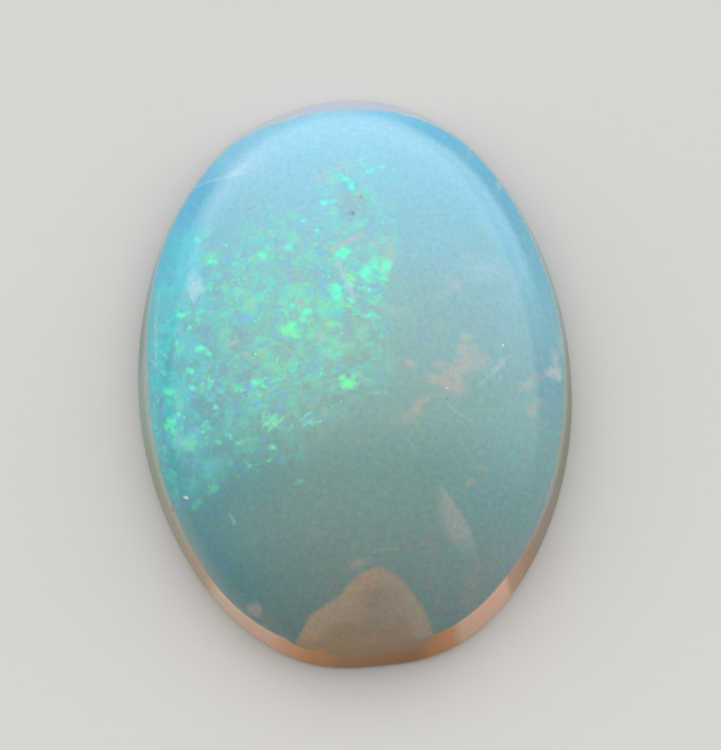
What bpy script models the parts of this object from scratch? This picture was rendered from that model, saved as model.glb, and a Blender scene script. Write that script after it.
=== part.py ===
"""Opal cabochon: one polished oval stone with a domed front, a low sloping side wall and a flat back.

The stone lies on its flat back at z = 0, dome up. +Y runs along its long axis, +X runs to its right as the dome is
looked down on with +Y upwards, and the origin is the middle of the back. Angles go round from +X towards +Y.
"""
import math

import bpy

MM = 0.001

# Girdle: the widest line round the stone, at the foot of the side wall.
HALF_WIDTH = 4.976 * MM
HALF_LENGTH = 6.705 * MM
OVAL_POWER = 2.127
EGG_SHARE = -0.0027
SQUARE_SHARE = 0.0086

# Side wall, from the girdle up to the shoulder, where the dome starts, and how far it leans in on the way.
WALL_HEIGHT = 1.20 * MM
WALL_LEAN = 0.150 * MM
SHOULDER_ROUNDING = 0.11 * MM

# Dome: the cap of an ellipsoid, which the shoulder cuts at this share of the ellipsoid's half-width.
DOME_RISE = 2.40 * MM
DOME_CUT = 0.80

# Bevel between the back and the side wall.
BACK_BEVEL = 0.15 * MM

# Places where the hand-ground outline leaves the oval: angle, half-angle of the place, and how far it stands out.
OUTLINE_DEPARTURES = {
    "flat_foot": (271.3, 10.9, -0.126 * MM),
    "flat_near_top": (101.4, 10.4, -0.090 * MM),
    "flat_upper_left": (125.4, 10.8, -0.042 * MM),
}
# Places where the side wall leans in more or less than elsewhere. It cuts the dome higher up or lower down there.
WALL_DEPARTURES = {
    "facet_at_top": (88.1, 14.6, 0.415 * MM),
    "steep_upper_left": (139.0, 17.8, -0.081 * MM),
    "steep_lower_left": (237.0, 18.1, -0.086 * MM),
    "wide_lower_right": (293.3, 39.3, 0.098 * MM),
}
# The higher this is, the nearer to the shoulder the dome's rows crowd together where the wall cuts the dome higher up.
CROWDING_POWER = 9

# Fineness of the faceted solid.
STEPS_ROUND = 112
DOME_ROWS = 19
ROUNDING_ROWS = 4
WALL_ROWS = 3
BACK_ROWS = 3
AXIS_MERGE = 0.000001

OPAL_COLOUR = (0.27, 0.50, 0.50, 1.0)
OPAL_ROUGHNESS = 0.08
OPAL_IOR = 1.45


def departures_at(angle, places):
    """The sum of the local departures at an angle, each one fading out smoothly either side of its place."""
    total = 0.0
    for place, spread, amount in places.values():
        away = math.remainder(angle - math.radians(place), math.tau) / math.radians(spread)
        total += amount * math.exp(-away * away)
    return total


def oval_reach(angle):
    """Distance from the stone's axis to the girdle without its departures: a full oval, a little egg-shaped."""
    across = abs(math.cos(angle)) / HALF_WIDTH
    along = abs(math.sin(angle)) / HALF_LENGTH
    oval = (across ** OVAL_POWER + along ** OVAL_POWER) ** (-1 / OVAL_POWER)
    return oval * (1 + EGG_SHARE * math.sin(3 * angle) + SQUARE_SHARE * math.cos(4 * angle))


def dome_height(share):
    """Height of the dome at a share of the way out from its middle to the even shoulder."""
    cut = math.sqrt(1 - DOME_CUT ** 2)
    return WALL_HEIGHT + DOME_RISE * (math.sqrt(1 - (DOME_CUT * share) ** 2) - cut) / (1 - cut)


def along_bend(start, corner, end, share):
    """A point on the parabola that leaves start towards corner and arrives at end from corner."""
    weights = ((1 - share) ** 2, 2 * share * (1 - share), share ** 2)
    return tuple(sum(w * p[i] for w, p in zip(weights, (start, corner, end))) for i in (0, 1))


def profile():
    """The round blank's outer side as (radius, height), from the top of the dome down to the middle of the back."""
    shoulder = HALF_WIDTH - WALL_LEAN
    dome_end = 1 - SHOULDER_ROUNDING / shoulder
    points = []
    for row in range(DOME_ROWS):
        share = dome_end * math.sin(math.pi / 2 * row / (DOME_ROWS - 1))
        points.append((shoulder * share, dome_height(share)))
    corner = (shoulder, WALL_HEIGHT)
    drop = SHOULDER_ROUNDING / (WALL_HEIGHT - BACK_BEVEL)
    wall_top = (shoulder + WALL_LEAN * drop, WALL_HEIGHT - SHOULDER_ROUNDING)
    for row in range(1, ROUNDING_ROWS + 1):
        points.append(along_bend(points[DOME_ROWS - 1], corner, wall_top, row / ROUNDING_ROWS))
    for row in range(1, WALL_ROWS + 1):
        down = row / WALL_ROWS
        radius = wall_top[0] + (HALF_WIDTH - wall_top[0]) * down
        points.append((radius, wall_top[1] + (BACK_BEVEL - wall_top[1]) * down))
    back_edge = HALF_WIDTH - BACK_BEVEL
    for row in range(BACK_ROWS + 1):
        points.append((back_edge * (1 - row / BACK_ROWS), 0.0))
    return points


def turned_blank(collection):
    """The profile turned once round the Z axis: a round stone."""
    points = profile()
    mesh = bpy.data.meshes.new("cabochon_profile")
    mesh.from_pydata([(radius, 0, height) for radius, height in points],
                     [(i, i + 1) for i in range(len(points) - 1)], [])
    blank = bpy.data.objects.new("cabochon_profile", mesh)
    collection.objects.link(blank)
    turn = blank.modifiers.new("turn", "SCREW")
    turn.steps = STEPS_ROUND
    turn.render_steps = STEPS_ROUND
    turn.use_merge_vertices = True
    turn.merge_threshold = AXIS_MERGE
    return blank


def oval_place(point):
    """Where a point of the round blank goes on the oval stone."""
    radius = math.hypot(point.x, point.y)
    angle = math.atan2(point.y, point.x)
    blank_shoulder = HALF_WIDTH - WALL_LEAN
    girdle = oval_reach(angle) + departures_at(angle, OUTLINE_DEPARTURES)
    lean = WALL_LEAN + departures_at(angle, WALL_DEPARTURES)
    shoulder = oval_reach(angle) - WALL_LEAN
    cut_away = 1 - (girdle - lean) / shoulder
    share = min(radius / blank_shoulder, 1.0)
    on_dome = share - cut_away * share ** CROWDING_POWER
    lift = dome_height(on_dome) - dome_height(share)
    if point.z < BACK_BEVEL / 2:
        reach = girdle * radius / HALF_WIDTH
        height = point.z
    elif radius <= blank_shoulder:
        reach = shoulder * on_dome
        height = point.z + lift
    else:
        reach = girdle - lean * (HALF_WIDTH - radius) / WALL_LEAN
        height = point.z + lift * (point.z - BACK_BEVEL) / (WALL_HEIGHT - BACK_BEVEL)
    return reach * math.cos(angle), reach * math.sin(angle), height


def opal_material():
    """Milky blue-green opal with a glassy polish."""
    material = bpy.data.materials.new("opal")
    material.use_nodes = True
    shader = material.node_tree.nodes["Principled BSDF"]
    shader.inputs["Base Color"].default_value = OPAL_COLOUR
    shader.inputs["Roughness"].default_value = OPAL_ROUGHNESS
    shader.inputs["Metallic"].default_value = 0.0
    shader.inputs["IOR"].default_value = OPAL_IOR
    material.diffuse_color = OPAL_COLOUR
    return material


def centred(points):
    """The points moved sideways until their box is centred over the origin."""
    middle = [(min(p[i] for p in points) + max(p[i] for p in points)) / 2 for i in (0, 1)]
    return [(x - middle[0], y - middle[1], z) for x, y, z in points]


def build_stone(collection):
    """The round blank made oval, as the finished stone."""
    blank = turned_blank(collection)
    graph = bpy.context.evaluated_depsgraph_get()
    mesh = bpy.data.meshes.new_from_object(blank.evaluated_get(graph))
    bpy.data.objects.remove(blank)
    places = centred([oval_place(vertex.co) for vertex in mesh.vertices])
    for vertex, place in zip(mesh.vertices, places):
        vertex.co = place
    mesh.name = "opal_cabochon"
    mesh.materials.append(opal_material())
    mesh.shade_smooth()
    mesh.set_sharp_from_angle(angle=math.radians(40))
    stone = bpy.data.objects.new("opal_cabochon", mesh)
    collection.objects.link(stone)
    return stone


def main():
    for old in list(bpy.data.objects):
        bpy.data.objects.remove(old)
    collection = bpy.data.collections.new("opal_cabochon")
    bpy.context.scene.collection.children.link(collection)
    build_stone(collection)


main()
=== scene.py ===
"""Looks of the opal cabochon: the polished surface, the opal's colours and the light that it is seen in.

The stone lies on its back on a pale floor. Its sizes are in millimetres until the mesh is made, and repeat
those of the CAD solid. Places that are read from the photograph are pixels of its 721 by 750 frame, x to the
right, y down; the sizes of the marks at those places are millimetres, and their turns are degrees
anticlockwise. Angles round the stone are degrees from +X towards +Y.
"""
import math

import bpy
import numpy as np
from mathutils import Matrix, Vector


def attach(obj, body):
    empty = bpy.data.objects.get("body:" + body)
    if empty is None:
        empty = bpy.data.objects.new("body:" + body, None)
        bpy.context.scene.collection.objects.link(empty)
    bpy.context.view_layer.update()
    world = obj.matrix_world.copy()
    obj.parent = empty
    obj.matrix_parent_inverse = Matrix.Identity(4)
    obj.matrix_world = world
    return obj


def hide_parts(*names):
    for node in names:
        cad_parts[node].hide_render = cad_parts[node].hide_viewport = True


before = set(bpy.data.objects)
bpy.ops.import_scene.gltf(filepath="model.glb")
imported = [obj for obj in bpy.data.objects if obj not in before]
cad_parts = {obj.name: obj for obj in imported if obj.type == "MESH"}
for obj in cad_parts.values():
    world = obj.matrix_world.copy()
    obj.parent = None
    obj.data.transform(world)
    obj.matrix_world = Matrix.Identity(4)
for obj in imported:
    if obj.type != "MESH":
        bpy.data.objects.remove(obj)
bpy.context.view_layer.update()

MM = 0.001

# Size of the stone, in millimetres.
HALF_WIDTH = 4.976
HALF_LENGTH = 6.705
OVAL_POWER = 2.127
EGG_SHARE = -0.0027
SQUARE_SHARE = 0.0086
WALL_HEIGHT = 1.20
WALL_LEAN = 0.150
SHOULDER_ROUNDING = 0.11
DOME_RISE = 2.40
DOME_CUT = 0.80
BACK_BEVEL = 0.15
GIRDLE_ROUNDING = 0.04
BACK_EDGE_ROUNDING = 0.03

# Local departures from the even oval: angle, half-angle, and how far the place stands out.
OUTLINE_DEPARTURES = {
    "flat_foot": (271.3, 10.9, -0.126), "flat_near_top": (101.4, 10.4, -0.09),
    "flat_upper_left": (125.4, 10.8, -0.042),
}
# Places where the side wall leans in more or less than elsewhere, given the same way.
WALL_DEPARTURES = {
    "facet_at_top": (88.1, 14.6, 0.415), "steep_upper_left": (139.0, 17.8, -0.081),
    "steep_lower_left": (237.0, 18.1, -0.086), "wide_lower_right": (293.3, 39.3, 0.098),
}
# The higher this is, the nearer to the shoulder the dome's rows crowd where the wall cuts it higher up.
CROWDING_POWER = 9

# Zones from the dome's top, where the zone is 0, to the middle of the back.
SHOULDER_ZONE = 1.0
GIRDLE_ZONE = 2.0
BACK_EDGE_ZONE = 3.0
BACK_MIDDLE_ZONE = 4.0
# Nothing that has its place in the photograph is painted past this zone, in the bevel below the girdle.
FRONT_END = 2.3

# Fineness of the mesh.
STEPS_ROUND = 640
DOME_ROWS = 96
BEND_ROWS = 6
WALL_ROWS = 10
BEVEL_ROWS = 2
BACK_ROWS = 6

# The camera looks down on the dome from a little towards -Y and -X, as the photograph does, from far away.
FRAME_WIDTH_PX = 721
FRAME_HEIGHT_PX = 750
MM_PER_PX = 10.0 / 431.4
GIRDLE_CENTRE_PX = (354.6, 383.2)
TILT_TOWARDS_FOOT = 10.9
TILT_TOWARDS_LEFT = 1.6
ROLL = 3.85
CAMERA_DISTANCE = 500.0
SENSOR = 36.0
CLIP_START = 0.01
CLIP_END = 10.0
STONE_TOP_PX = 101
STONE_FOOT_PX = 667
OUTLINE_CENTRE_PX = (356, 384)
OUTLINE_STEP = 0.5

# Light, and the floor, which is 2 metres wide.
SOFTBOX_STRENGTH = 1.7
FILL_STRENGTH = 0.5
FLOOR_HALF_SIZE = 1.0

# Lengths along the surface from the dome's middle to the shoulder, and from there down the side wall.
DOME_SPAN = 4.8
WALL_SPAN = 1.2

# Colour of the opal from its foot to its top, as seen from above: share of the way up, and colour. It grows
# paler and bluer towards the top, partly the opal's own colour and partly painted sheen of the light above.
BODY_AND_SHEEN_STOPS = (
    (0.04, (0.115, 0.175, 0.16)), (0.12, (0.141, 0.208, 0.19)), (0.22, (0.164, 0.25, 0.233)),
    (0.33, (0.166, 0.284, 0.262)), (0.45, (0.17, 0.316, 0.294)), (0.56, (0.192, 0.354, 0.352)),
    (0.68, (0.194, 0.386, 0.41)), (0.8, (0.188, 0.418, 0.51)), (0.9, (0.2, 0.455, 0.59)),
    (0.96, (0.232, 0.505, 0.69)),
)
# Along the rim lies a deeper blue band, painted shade where the rim reflects no light: angle, width, how soft
# its inner edge is, strength, and colour.
RIM_SHADE_BAND = {
    "right": (352.0, (0.8, 0.24, 0.6, 0.15, 0.33, 0.412)),
    "right_rise": (12.0, (0.51, 0.27, 0.66, 0.165, 0.375, 0.465)),
    "upper_right_low": (24.0, (0.42, 0.1, 0.9, 0.14, 0.372, 0.48)),
    "upper_right": (48.0, (0.365, 0.09, 0.95, 0.11, 0.35, 0.495)),
    "before_facet": (70.0, (0.37, 0.08, 0.95, 0.1, 0.368, 0.54)),
    "facet_start": (80.0, (0.31, 0.08, 0.75, 0.14, 0.41, 0.59)),
    "facet": (92.0, (0.26, 0.12, 0.4, 0.17, 0.43, 0.6)),
    "facet_end": (104.0, (0.3, 0.14, 0.6, 0.16, 0.405, 0.53)),
    "upper_left": (116.0, (0.4, 0.16, 0.7, 0.13, 0.385, 0.54)),
    "crack": (127.0, (0.46, 0.16, 0.9, 0.082, 0.35, 0.515)),
    "left_rise": (146.0, (0.62, 0.3, 0.85, 0.07, 0.4, 0.52)),
    "left_high": (158.0, (0.55, 0.28, 0.7, 0.112, 0.41, 0.485)),
    "left": (172.0, (0.52, 0.22, 0.8, 0.14, 0.405, 0.47)),
    "left_low": (196.0, (0.5, 0.25, 0.8, 0.14, 0.375, 0.445)),
    "left_foot": (208.0, (0.42, 0.2, 0.45, 0.145, 0.37, 0.37)),
    "grey_start": (214.0, (0.42, 0.25, 0.75, 0.185, 0.31, 0.31)),
    "grey": (226.0, (0.42, 0.25, 0.8, 0.225, 0.285, 0.272)),
    "grey_end": (238.0, (0.44, 0.25, 0.65, 0.195, 0.255, 0.245)),
    "foot_left": (250.0, (0.45, 0.25, 0.6, 0.185, 0.225, 0.205)),
    "foot": (262.0, (0.2, 0.2, 0.0, 0.15, 0.23, 0.21)),
    "right_foot": (316.0, (0.3, 0.3, 0.0, 0.18, 0.3, 0.32)),
    "right_low": (336.0, (0.5, 0.3, 0.55, 0.178, 0.345, 0.37)),
}
# Colour of the side wall round the stone: angle, and colour. It is partly the wall's own colour and partly
# painted glow of light passing through the stone, strongest in the pink and orange low down.
WALL_TINTS_AND_GLOW = {
    "right": (350.0, (0.184, 0.22, 0.15)), "right_rise": (3.0, (0.2, 0.248, 0.237)),
    "upper_right_low": (14.0, (0.21, 0.32, 0.32)), "upper_right_dome": (24.0, (0.205, 0.345, 0.385)),
    "upper_right": (50.0, (0.215, 0.36, 0.435)), "facet_start": (66.0, (0.22, 0.38, 0.48)),
    "facet_right": (76.0, (0.37, 0.43, 0.5)), "facet": (88.0, (0.37, 0.44, 0.55)),
    "facet_left": (100.0, (0.36, 0.44, 0.555)), "facet_end": (110.0, (0.3, 0.42, 0.515)),
    "upper_left": (128.0, (0.195, 0.355, 0.43)), "upper_left_low": (150.0, (0.19, 0.32, 0.36)),
    "left_rise": (158.0, (0.2, 0.3, 0.29)), "left_high": (167.0, (0.185, 0.255, 0.235)),
    "left": (177.0, (0.25, 0.3, 0.28)), "left_mid": (187.0, (0.235, 0.31, 0.265)),
    "left_low": (200.0, (0.255, 0.28, 0.205)), "lower_left": (217.0, (0.325, 0.287, 0.212)),
    "pink_before": (229.0, (0.42, 0.3, 0.19)), "pink_start": (235.5, (0.665, 0.465, 0.33)),
    "pink_end": (248.0, (0.69, 0.41, 0.29)), "orange": (253.0, (0.61, 0.29, 0.13)),
    "orange_end": (258.5, (0.49, 0.195, 0.045)), "foot": (265.0, (0.345, 0.145, 0.03)),
    "foot_end": (279.0, (0.295, 0.118, 0.02)), "orange_right": (282.0, (0.47, 0.19, 0.04)),
    "orange_right_end": (286.0, (0.53, 0.225, 0.065)), "pink_right": (289.5, (0.64, 0.41, 0.27)),
    "pink_right_end": (301.3, (0.65, 0.425, 0.3)), "brown": (303.3, (0.4, 0.265, 0.175)),
    "brown_mid": (310.0, (0.31, 0.21, 0.138)), "brown_end": (322.0, (0.25, 0.21, 0.16)),
    "right_low": (336.0, (0.196, 0.2, 0.135)),
}
# The wall's colour starts a little above or below the shoulder in places: angle, and zone where it starts.
WALL_STARTS = {
    "right_low": (338, 0.986), "right": (350, 0.987), "right_rise": (8.0, 0.996), "upper_right": (62, 1.0),
    "facet_start": (70, 0.984), "facet_corner": (76, 0.992), "facet_right": (81, 1.12), "facet": (90, 1.18),
    "facet_left": (96, 1.02), "facet_end": (101, 0.975), "facet_tail": (107, 0.978),
    "upper_left": (116, 0.998), "left_high": (162, 1.0), "left": (180, 0.985), "left_low": (193, 0.99),
    "lower_left": (205, 1.0), "before_patch": (251.5, 1.0), "patch_foot": (255.5, 1.09),
    "on_patch": (259.5, 1.0), "lower_right": (318, 1.0),
}
# Between these angles the top of the wall has the grey patch's colours, with painted orange glow of light
# passing through the stone's foot; they fade in over this many degrees.
POTCH_WALL = (260.5, 282.0)
POTCH_WALL_FADE = 2.0

# Where the play of colour lies. Its edge is ragged, but for a straight cut on the right of its upper half.
FIRE_ZONE = (
    ("top_right", (402, 148)), ("right_edge", (408, 262)), ("right_low", (388, 385)),
    ("low_step", (348, 422)), ("low_right", (306, 462)), ("low", (222, 492)), ("low_left", (140, 535)),
    ("left_low", (125, 420)), ("left", (120, 300)), ("left_top", (165, 215)), ("top_left", (225, 228)),
    ("top_mid", (290, 200)), ("top", (325, 155)),
)
FIRE_CUT_TOP = (400, 150)
FIRE_CUT_FOOT = (402, 262)
# How many times faster the distance to the cut grows below its foot.
FIRE_CUT_SLOPE = 3
# The pinkish grey patch without play of colour at the foot.
POTCH_OUTLINE = (
    ("left_foot", (290, 668)), ("left", (297, 640)), ("left_step", (302, 630)),
    ("left_shoulder", (309, 615)), ("left_top", (330, 601)), ("mid_left", (340, 595)), ("mid", (347, 585)),
    ("top_left", (359, 574)), ("top", (378, 565)), ("top_right", (396, 574)), ("right", (412, 590)),
    ("right_low", (426, 612)), ("right_foot", (434, 632)), ("right_end", (440, 668)),
)
# The pale wedge low on the right: its sharp right-hand edge and its soft left-hand one, from the top down.
WEDGE_RIGHT = ((441, 483), (450, 496), (462, 514), (470, 527), (475, 540), (480, 556))
WEDGE_LEFT = ((439, 483), (438, 500), (439, 520), (446, 538), (462, 556))
# Pixels over which the wedge fades in from its edges and its top, and over which it dims, and by what share.
WEDGE_RIGHT_FADE = (-1.0, 2.5)
WEDGE_LEFT_FADE = (-5.0, 9.0)
WEDGE_TOP_FADE = (-3, 8)
WEDGE_MIDDLE_DIMS = (17, 35)
WEDGE_FOOT_DIMS = (-34, 10)
WEDGE_DIMMING = (0.22, 0.63)
# Height of the nicks in the girdle, and the distance given to a mark that isn't near.
NICK_HEIGHT = 0.12
FAR = 10.0

# Oval marks: place, width, height and, where there is one, turn.
OVALS = {}
# Crisp patches of play of colour.
OVALS["green"] = {
    "below_bar": (341.5, 253.5, 0.36, 0.23, 8), "heart": (335.5, 289, 0.31, 0.23, 15),
    "heart_point": (339, 297, 0.17, 0.2), "cluster_left": (366, 272.5, 0.29, 0.25, 30),
    "cluster_top": (373, 265, 0.32, 0.19, 20), "cluster_low": (369, 279, 0.24, 0.1, 15),
    "cluster_right": (386, 266, 0.23, 0.23), "cluster_tail": (384, 276, 0.13, 0.22, 10),
    "beside_bar": (349, 282, 0.13, 0.22, 25), "notched": (307, 312, 0.24, 0.16, 20),
    "notched_low": (303, 319, 0.2, 0.12), "lone_right": (262, 256, 0.15, 0.12),
    "left_pair": (200, 348, 0.19, 0.14, 20), "left_pair_low": (208, 353, 0.12, 0.1),
    "left_low": (168.5, 391, 0.24, 0.2), "left_mid": (190, 371, 0.15, 0.13),
    "slanting_oval": (171, 424.5, 0.22, 0.32, -20), "nucleus": (211, 262, 0.14, 0.11),
    "mid_tail": (294, 324, 0.16, 0.08), "long_left": (255.5, 382, 0.26, 0.15),
    "long_left_end": (262, 385, 0.13, 0.07, -20), "left_dot": (236, 389, 0.1, 0.07),
    "right_dot": (242, 390, 0.08, 0.06),
}
OVALS["cyan"] = {
    "upper": (351, 185, 0.16, 0.17, 10), "upper_dash": (373, 170, 0.18, 0.08, 10),
    "upper_left": (324, 203, 0.2, 0.12, 10), "middle": (288, 247, 0.15, 0.12, 10),
    "round": (290, 307, 0.13, 0.11), "tail": (345, 286, 0.1, 0.1), "end_of_bar": (351, 300, 0.12, 0.1),
    "left_a": (190, 326, 0.09, 0.08), "left_b": (180, 315, 0.14, 0.11), "left_c": (192, 388, 0.12, 0.12),
    "left_d": (225, 245, 0.07, 0.06), "low_a": (178, 413, 0.09, 0.09), "low_b": (215, 407, 0.09, 0.07),
    "right_dash": (368, 289, 0.22, 0.07), "right_top": (388, 221, 0.19, 0.07),
    "right_low": (371, 316, 0.19, 0.06, -10), "upper_speck": (362, 163, 0.1, 0.12, 60),
    "upper_faint": (345, 179, 0.08, 0.08), "upper_row": (332, 201, 0.12, 0.08, 10),
    "upper_low": (304, 221, 0.12, 0.08), "right_of_top": (383, 167, 0.12, 0.08),
    "row_a": (198, 240, 0.12, 0.1), "row_b": (268, 246, 0.08, 0.06), "row_c": (290, 247, 0.1, 0.12, 30),
    "speck": (318, 232, 0.1, 0.09), "speck_low": (321, 373, 0.05, 0.05),
}
OVALS["yellow"] = {
    "block": (348, 384, 0.37, 0.25), "block_left_tip": (343, 378, 0.15, 0.16),
    "block_right_tip": (353, 378, 0.15, 0.15), "wide": (289, 330, 0.36, 0.24, -25),
    "wide_end": (296, 336, 0.24, 0.14, -10), "tip": (341, 332, 0.08, 0.06),
    "by_bar": (352, 278, 0.1, 0.2, 15), "low_a": (219, 442, 0.13, 0.06, -20),
    "low_b": (240, 442, 0.1, 0.06), "low_c": (250, 466, 0.13, 0.05, 10),
    "low_d": (270, 459.5, 0.1, 0.06, 5), "low_e": (272, 447, 0.16, 0.09, 10),
    "low_f": (299, 480.5, 0.08, 0.06), "low_g": (206, 439, 0.09, 0.12), "low_h": (231, 437, 0.06, 0.1, 30),
}
# Soft patches of play of colour.
OVALS["soft_green"] = {
    "halo_wide": (288, 329, 0.62, 0.44, -15), "tall": (311, 333, 0.21, 0.37),
    "dim_oval": (323, 307, 0.42, 0.5, 10), "low_right": (333, 388, 0.16, 0.16),
    "flat": (346, 346, 0.33, 0.13), "flat_low": (335, 356, 0.16, 0.14), "right": (374, 344, 0.2, 0.14),
    "right_low": (378, 393, 0.2, 0.07), "upper": (291, 217, 0.28, 0.14, 10),
    "upper_low": (294, 239, 0.2, 0.2), "left_halo": (210, 258, 0.38, 0.3),
    "left_mid": (238, 293, 0.36, 0.3, 20), "centre": (290, 290, 0.36, 0.3),
    "low_dot": (220, 391, 0.15, 0.13), "low_left": (189, 445, 0.42, 0.34), "bottom": (214, 488, 0.19, 0.16),
    "bottom_right": (299, 481, 0.15, 0.1), "lone_halo": (262, 257, 0.34, 0.26),
    "hatched": (270, 422, 0.36, 0.3), "low_mid": (307, 378, 0.16, 0.14),
    "streak": (270, 340, 0.44, 0.1, -25), "streak_low": (283, 347, 0.4, 0.08, -30),
    "broad_low": (275, 367, 0.6, 0.18, -20),
}
OVALS["soft_cyan"] = {
    "left_bright": (204, 301, 0.36, 0.34), "left_top": (189, 235, 0.2, 0.2),
    "left_next": (182, 250, 0.2, 0.18), "left_a": (172, 318, 0.34, 0.5), "left_b": (186, 352, 0.3, 0.4),
    "left_c": (165, 352, 0.16, 0.34), "left_d": (200, 350, 0.32, 0.26), "left_e": (213, 362, 0.18, 0.16),
    "left_low": (166, 391, 0.34, 0.3), "left_lower": (176, 432, 0.24, 0.2),
    "left_pool": (188, 440, 0.8, 0.44), "bar_halo": (341, 254, 0.44, 0.34),
    "heart_halo": (336, 291, 0.44, 0.4), "upper_halo": (351, 186, 0.26, 0.28),
}
OVALS["soft_blue"] = {
    "upper_left": (229, 259, 0.3, 0.18), "upper_mid": (264, 264, 0.24, 0.14),
    "upper_right": (286, 262, 0.24, 0.16), "behind_heart": (322, 286, 0.2, 0.3),
    "centre": (338, 371, 0.19, 0.15), "centre_left": (320, 369, 0.13, 0.11), "low": (280, 406, 0.22, 0.18),
    "left_dark": (249, 388, 0.21, 0.17, 20), "wide_dim": (352, 268, 0.2, 0.18),
    "mid": (245, 318, 0.4, 0.26), "left": (193, 430, 0.3, 0.22),
}
# Where the play of colour is strongest.
OVALS["heart"] = {
    "middle": (300, 322, 4.5, 3.8, 20), "left": (180, 372, 2.6, 4.8, 10), "by_bar": (372, 272, 2.0, 2.0),
    "upper_left": (225, 265, 3.0, 2.0), "low": (260, 400, 2.6, 0.8, 20), "upper": (352, 190, 1.3, 1.7),
}
# Pale dots and short strokes, dimmer dots, and dark, deep green and brown specks.
OVALS["pale"] = {
    "white_dash": (192, 298, 0.14, 0.045, -50), "dot_a": (206, 386, 0.05, 0.05),
    "dot_d": (256, 354, 0.05, 0.06), "dash_b": (207, 396, 0.12, 0.04, -60),
    "left_speck": (186, 497.5, 0.15, 0.09, -20), "left_speck_right": (189, 499, 0.07, 0.05),
    "right_speck": (503, 345, 0.065, 0.06), "mid_speck": (447, 388, 0.07, 0.05),
    "dash_pair": (501, 377, 0.03, 0.06, -20), "dash_pair_left": (498, 381, 0.03, 0.07, 20),
    "low_speck": (454.5, 526.5, 0.06, 0.06),
}
OVALS["dim"] = {
    "left": (235, 336, 0.06, 0.06), "left_next": (246, 337, 0.05, 0.05), "low": (341, 402, 0.06, 0.06),
    "middle": (326, 375, 0.06, 0.05), "right": (374, 359, 0.05, 0.05),
}
OVALS["dark"] = {
    "upper_grey": (320, 171, 0.08, 0.06), "mid": (297, 340, 0.14, 0.06), "small": (309, 353, 0.05, 0.06),
}
OVALS["deep_dot"] = {"upper": (353, 213.5, 0.13, 0.11), "beside_cloud": (447, 398.5, 0.08, 0.08)}
OVALS["brown"] = {
    "upper": (361, 197, 0.11, 0.1), "right": (491, 384.5, 0.085, 0.07), "rim": (172.5, 509.5, 0.1, 0.13),
}
# Pale nicks in the sharp line of the girdle.
OVALS["nick"] = {
    "upper": (563, 323, 0.08, 0.08), "middle": (571, 420, 0.06, 0.06), "low": (562, 485, 0.06, 0.06),
    "foot": (536, 554, 0.07, 0.07),
}
# Pinkish clouds inside the stone, weaker veils of the same kind, and faint pearly hints.
OVALS["cloud"] = {
    "band_tip": (465, 336, 0.15, 0.13), "band_top": (466, 350.5, 0.42, 0.22),
    "band_corner": (459, 350, 0.14, 0.17), "band_right": (481, 360, 0.36, 0.29, 10),
    "band": (464, 365, 0.62, 0.34, 18), "band_low": (451, 380, 0.46, 0.5, -8),
    "band_foot": (458, 388, 0.22, 0.26), "left_low": (435, 379.5, 0.34, 0.14, -25),
    "arm_mid": (417, 410, 0.19, 0.16, -20), "arm": (424, 400, 0.2, 0.09, 35),
    "right_a": (526, 386, 0.34, 0.17, 15), "right_b": (537, 379, 0.34, 0.17, 25),
    "right_c": (532, 411.5, 0.23, 0.28, -15), "low_dot": (480.7, 468, 0.14, 0.14),
    "far_left": (410.5, 363, 0.2, 0.17),
}
OVALS["veil"] = {
    "beside_mid": (439, 365, 0.24, 0.18), "arm_end": (405, 418.5, 0.38, 0.18, 15),
    "arm_foot": (413.5, 421, 0.15, 0.16), "below": (449, 395, 0.3, 0.16), "upper": (454, 284.5, 0.32, 0.22),
    "upper_tail": (445, 292, 0.24, 0.15, 20), "above": (440, 326, 0.15, 0.12),
    "top": (467, 256, 0.15, 0.13), "right_d": (540, 403.5, 0.3, 0.15), "right_e": (543, 424.5, 0.2, 0.2),
    "squiggle": (360, 564, 0.3, 0.14, 15), "left_foot": (257, 610, 0.32, 0.24),
    "left_foot_low": (269, 619, 0.36, 0.14, -45),
}
OVALS["hint"] = {
    "left_round": (178.5, 439, 0.22, 0.22), "upper": (323, 174, 0.3, 0.22, -20),
    "upper_long": (341, 166, 0.42, 0.12, 8), "right_of_fire": (390, 250, 0.34, 0.5),
    "middle": (320, 337, 0.3, 0.24), "below_heart": (395, 312, 0.5, 0.2, -20),
    "rim_upper_right": (498, 187, 0.26, 0.1, 60), "rim_upper": (470, 153, 0.2, 0.07, 60),
    "rim_right": (561, 345, 0.14, 0.5),
}
# Pale greyish spots, faint pinkish ones, and a whitish veil near the girdle on the right, which is a painted
# glint.
OVALS["grey"] = {"left_foot": (255.5, 608.5, 0.25, 0.25), "squiggle": (358, 564, 0.26, 0.11, 15)}
OVALS["faint"] = {
    "low_left": (247, 544, 0.22, 0.26), "low_mid": (276, 566, 0.34, 0.18), "middle": (315, 532, 0.2, 0.18),
    "above": (325, 496, 0.14, 0.16), "above_left": (312, 524, 0.14, 0.12),
}
OVALS["corner_glint"] = {
    "corner": (554, 371.5, 0.24, 0.19), "corner_top": (554.5, 363, 0.08, 0.28),
    "corner_right": (558, 376, 0.14, 0.1),
}
# Large faint pinkish smears, and a duller patch, a pearly spot and a milky patch in the play of colour.
OVALS["smear"] = {
    "foot": (431, 553, 0.34, 1.25, 8), "top": (352, 203, 0.75, 0.7), "beside_hatch": (325, 411, 0.14, 0.42),
    "clouds": (455, 374, 1.15, 0.85, 30), "fire_right": (338, 343, 0.9, 1.0),
    "arm": (415, 409, 0.8, 0.4, 40), "lower_right": (494, 580, 1.2, 2.6, -35),
}
OVALS["dull"] = {"top": (352, 203, 0.8, 0.85)}
OVALS["pearl"] = {"left_oval": (195, 288, 0.3, 0.48, -5)}
OVALS["milk"] = {"left": (190, 266, 0.5, 1.5, -10)}
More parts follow.
